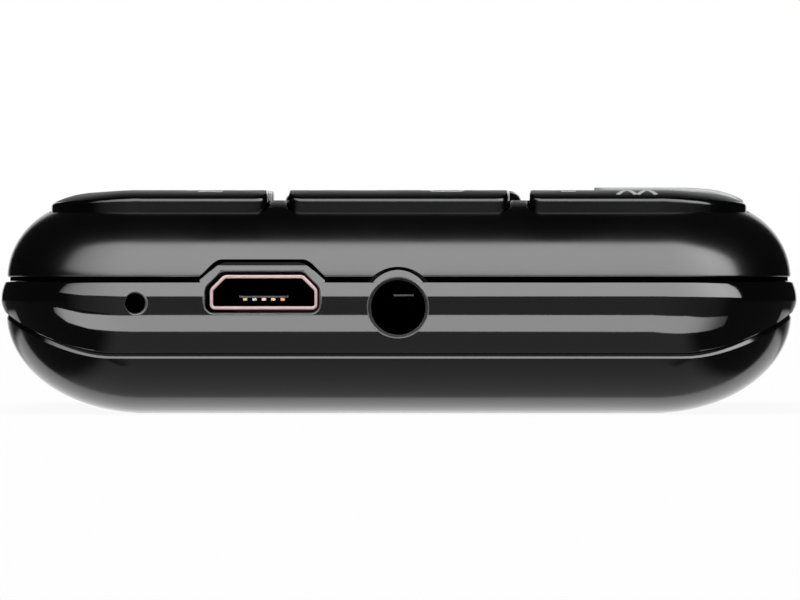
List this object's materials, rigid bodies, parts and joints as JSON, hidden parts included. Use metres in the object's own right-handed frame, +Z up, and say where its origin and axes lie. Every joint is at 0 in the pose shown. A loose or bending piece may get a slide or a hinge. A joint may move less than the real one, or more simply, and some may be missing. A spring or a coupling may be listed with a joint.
{
  "type": "mobile phone",
  "caption": "Bar-shaped mobile phone with large raised keys, display window, micro-USB and audio ports in the bottom end, and a lift-off battery cover.",
  "frame": {"origin": "under the middle of the phone, on the surface that its back rests on", "axes": "+X across the phone, +Y along it from the ports to the earpiece, +Z up through the keys"},
  "size_m": [0.0554, 0.125, 0.0158],
  "materials": {
    "front_shell": "satin black",
    "frame_band": "polished black",
    "back_shell": "semi-gloss black",
    "keys": "semi-gloss black",
    "light_key": "light grey",
    "window": "polished, dark",
    "screen": "dark, switched off",
    "steel": "plated steel",
    "usb_steel": "warm plated steel",
    "gold": "gold-plated contacts",
    "dark_plastic": "moulded black",
    "rubber": "silicone",
    "board": "green solder mask",
    "polymer_film": "amber film",
    "battery_case": "plain grey wrap"
  },
  "bodies": {
    "phone": {"front_housing": "front_shell", "display_window": "window", "display_module": "screen", "display_flex": "polymer_film", "earpiece_mesh": "steel", "earpiece_receiver": "dark_plastic", "keypad_mat": "rubber", "dome_sheet": "polymer_film", "mid_frame": "frame_band", "main_board": "board", "shield_can": "steel", "sim_socket": "steel", "battery_contacts": "gold", "usb_shell": "usb_steel", "usb_tongue": "dark_plastic", "usb_contacts": "gold", "jack_body": "dark_plastic", "jack_spring": "steel", "microphone": "steel", "microphone_boot": "rubber", "loudspeaker": "dark_plastic", "vibration_motor": "steel", "antenna": "polymer_film", "volume_switch": "dark_plastic", "screw_1": "steel", "screw_2": "steel", "screw_3": "steel", "screw_4": "steel", "screw_5": "steel", "screw_6": "steel"},
    "key_1": {"key_1": "keys"},
    "key_2": {"key_2": "keys"},
    "key_3": {"key_3": "keys"},
    "key_4": {"key_4": "keys"},
    "key_5": {"key_5": "keys"},
    "key_6": {"key_6": "keys"},
    "key_7": {"key_7": "keys"},
    "key_8": {"key_8": "keys"},
    "key_9": {"key_9": "keys"},
    "key_star": {"key_star": "keys"},
    "key_0": {"key_0": "keys"},
    "key_hash": {"key_hash": "keys"},
    "key_call": {"key_call": "keys"},
    "key_end": {"key_end": "light_key"},
    "key_soft_left": {"key_soft_left": "keys"},
    "key_soft_right": {"key_soft_right": "keys"},
    "key_ok": {"key_ok": "keys"},
    "nav_pivot": {"nav_pivot": "keys"},
    "nav_ring": {"nav_ring": "keys"},
    "volume_key": {"volume_key": "keys"},
    "battery_cover": {"battery_cover": "back_shell"},
    "battery": {"battery": "battery_case"},
    "vibration_weight": {"vibration_weight": "steel"}
  },
  "joints": [
    {"name": "key_1_press", "type": "slide", "parent": "phone", "child": "key_1", "axis": [0, 0, -1], "range_m": [0, 0.00035], "stiffness_N_per_m": 400},
    {"name": "key_2_press", "type": "slide", "parent": "phone", "child": "key_2", "axis": [0, 0, -1], "range_m": [0, 0.00035], "stiffness_N_per_m": 400},
    {"name": "key_3_press", "type": "slide", "parent": "phone", "child": "key_3", "axis": [0, 0, -1], "range_m": [0, 0.00035], "stiffness_N_per_m": 400},
    {"name": "key_4_press", "type": "slide", "parent": "phone", "child": "key_4", "axis": [0, 0, -1], "range_m": [0, 0.00035], "stiffness_N_per_m": 400},
    {"name": "key_5_press", "type": "slide", "parent": "phone", "child": "key_5", "axis": [0, 0, -1], "range_m": [0, 0.00035], "stiffness_N_per_m": 400},
    {"name": "key_6_press", "type": "slide", "parent": "phone", "child": "key_6", "axis": [0, 0, -1], "range_m": [0, 0.00035], "stiffness_N_per_m": 400},
    {"name": "key_7_press", "type": "slide", "parent": "phone", "child": "key_7", "axis": [0, 0, -1], "range_m": [0, 0.00035], "stiffness_N_per_m": 400},
    {"name": "key_8_press", "type": "slide", "parent": "phone", "child": "key_8", "axis": [0, 0, -1], "range_m": [0, 0.00035], "stiffness_N_per_m": 400},
    {"name": "key_9_press", "type": "slide", "parent": "phone", "child": "key_9", "axis": [0, 0, -1], "range_m": [0, 0.00035], "stiffness_N_per_m": 400},
    {"name": "key_star_press", "type": "slide", "parent": "phone", "child": "key_star", "axis": [0, 0, -1], "range_m": [0, 0.00035], "stiffness_N_per_m": 400},
    {"name": "key_0_press", "type": "slide", "parent": "phone", "child": "key_0", "axis": [0, 0, -1], "range_m": [0, 0.00035], "stiffness_N_per_m": 400},
    {"name": "key_hash_press", "type": "slide", "parent": "phone", "child": "key_hash", "axis": [0, 0, -1], "range_m": [0, 0.00035], "stiffness_N_per_m": 400},
    {"name": "key_call_press", "type": "slide", "parent": "phone", "child": "key_call", "axis": [0, 0, -1], "range_m": [0, 0.00035], "stiffness_N_per_m": 400},
    {"name": "key_end_press", "type": "slide", "parent": "phone", "child": "key_end", "axis": [0, 0, -1], "range_m": [0, 0.00035], "stiffness_N_per_m": 400},
    {"name": "key_soft_left_press", "type": "slide", "parent": "phone", "child": "key_soft_left", "axis": [0, 0, -1], "range_m": [0, 0.00035], "stiffness_N_per_m": 400},
    {"name": "key_soft_right_press", "type": "slide", "parent": "phone", "child": "key_soft_right", "axis": [0, 0, -1], "range_m": [0, 0.00035], "stiffness_N_per_m": 400},
    {"name": "key_ok_press", "type": "slide", "parent": "phone", "child": "key_ok", "axis": [0, 0, -1], "range_m": [0, 0.00035], "stiffness_N_per_m": 400},
    {"name": "nav_tilt_up_down", "type": "hinge", "parent": "phone", "child": "nav_pivot", "pos_m": [0, -0.0038, 0.01257], "axis": [1, 0, 0], "range_deg": [-1.1, 1.1], "stiffness_Nm_per_rad": 0.3},
    {"name": "nav_tilt_left_right", "type": "hinge", "parent": "nav_pivot", "child": "nav_ring", "pos_m": [0, -0.0038, 0.01257], "axis": [0, 1, 0], "range_deg": [-1.1, 1.1], "stiffness_Nm_per_rad": 0.3},
    {"name": "volume_rock", "type": "hinge", "parent": "phone", "child": "volume_key", "pos_m": [0.02505, 0.02, 0.0084], "axis": [0, 0, 1], "range_deg": [-1.2, 1.2], "stiffness_Nm_per_rad": 0.2},
    {"name": "battery_cover_lift", "type": "slide", "parent": "phone", "child": "battery_cover", "axis": [0, 0, -1], "range_m": [0, 0.03]},
    {"name": "battery_lift", "type": "slide", "parent": "phone", "child": "battery", "axis": [0, 0, -1], "range_m": [0, 0.015]},
    {"name": "vibration_spin", "type": "hinge", "parent": "phone", "child": "vibration_weight", "pos_m": [0.0024, 0.0141, 0.0048], "axis": [1, 0, 0], "continuous": true}
  ],
  "couplings": [
    {"joint": "battery_lift", "follows": "battery_cover_lift", "ratio": 0.5}
  ]
}
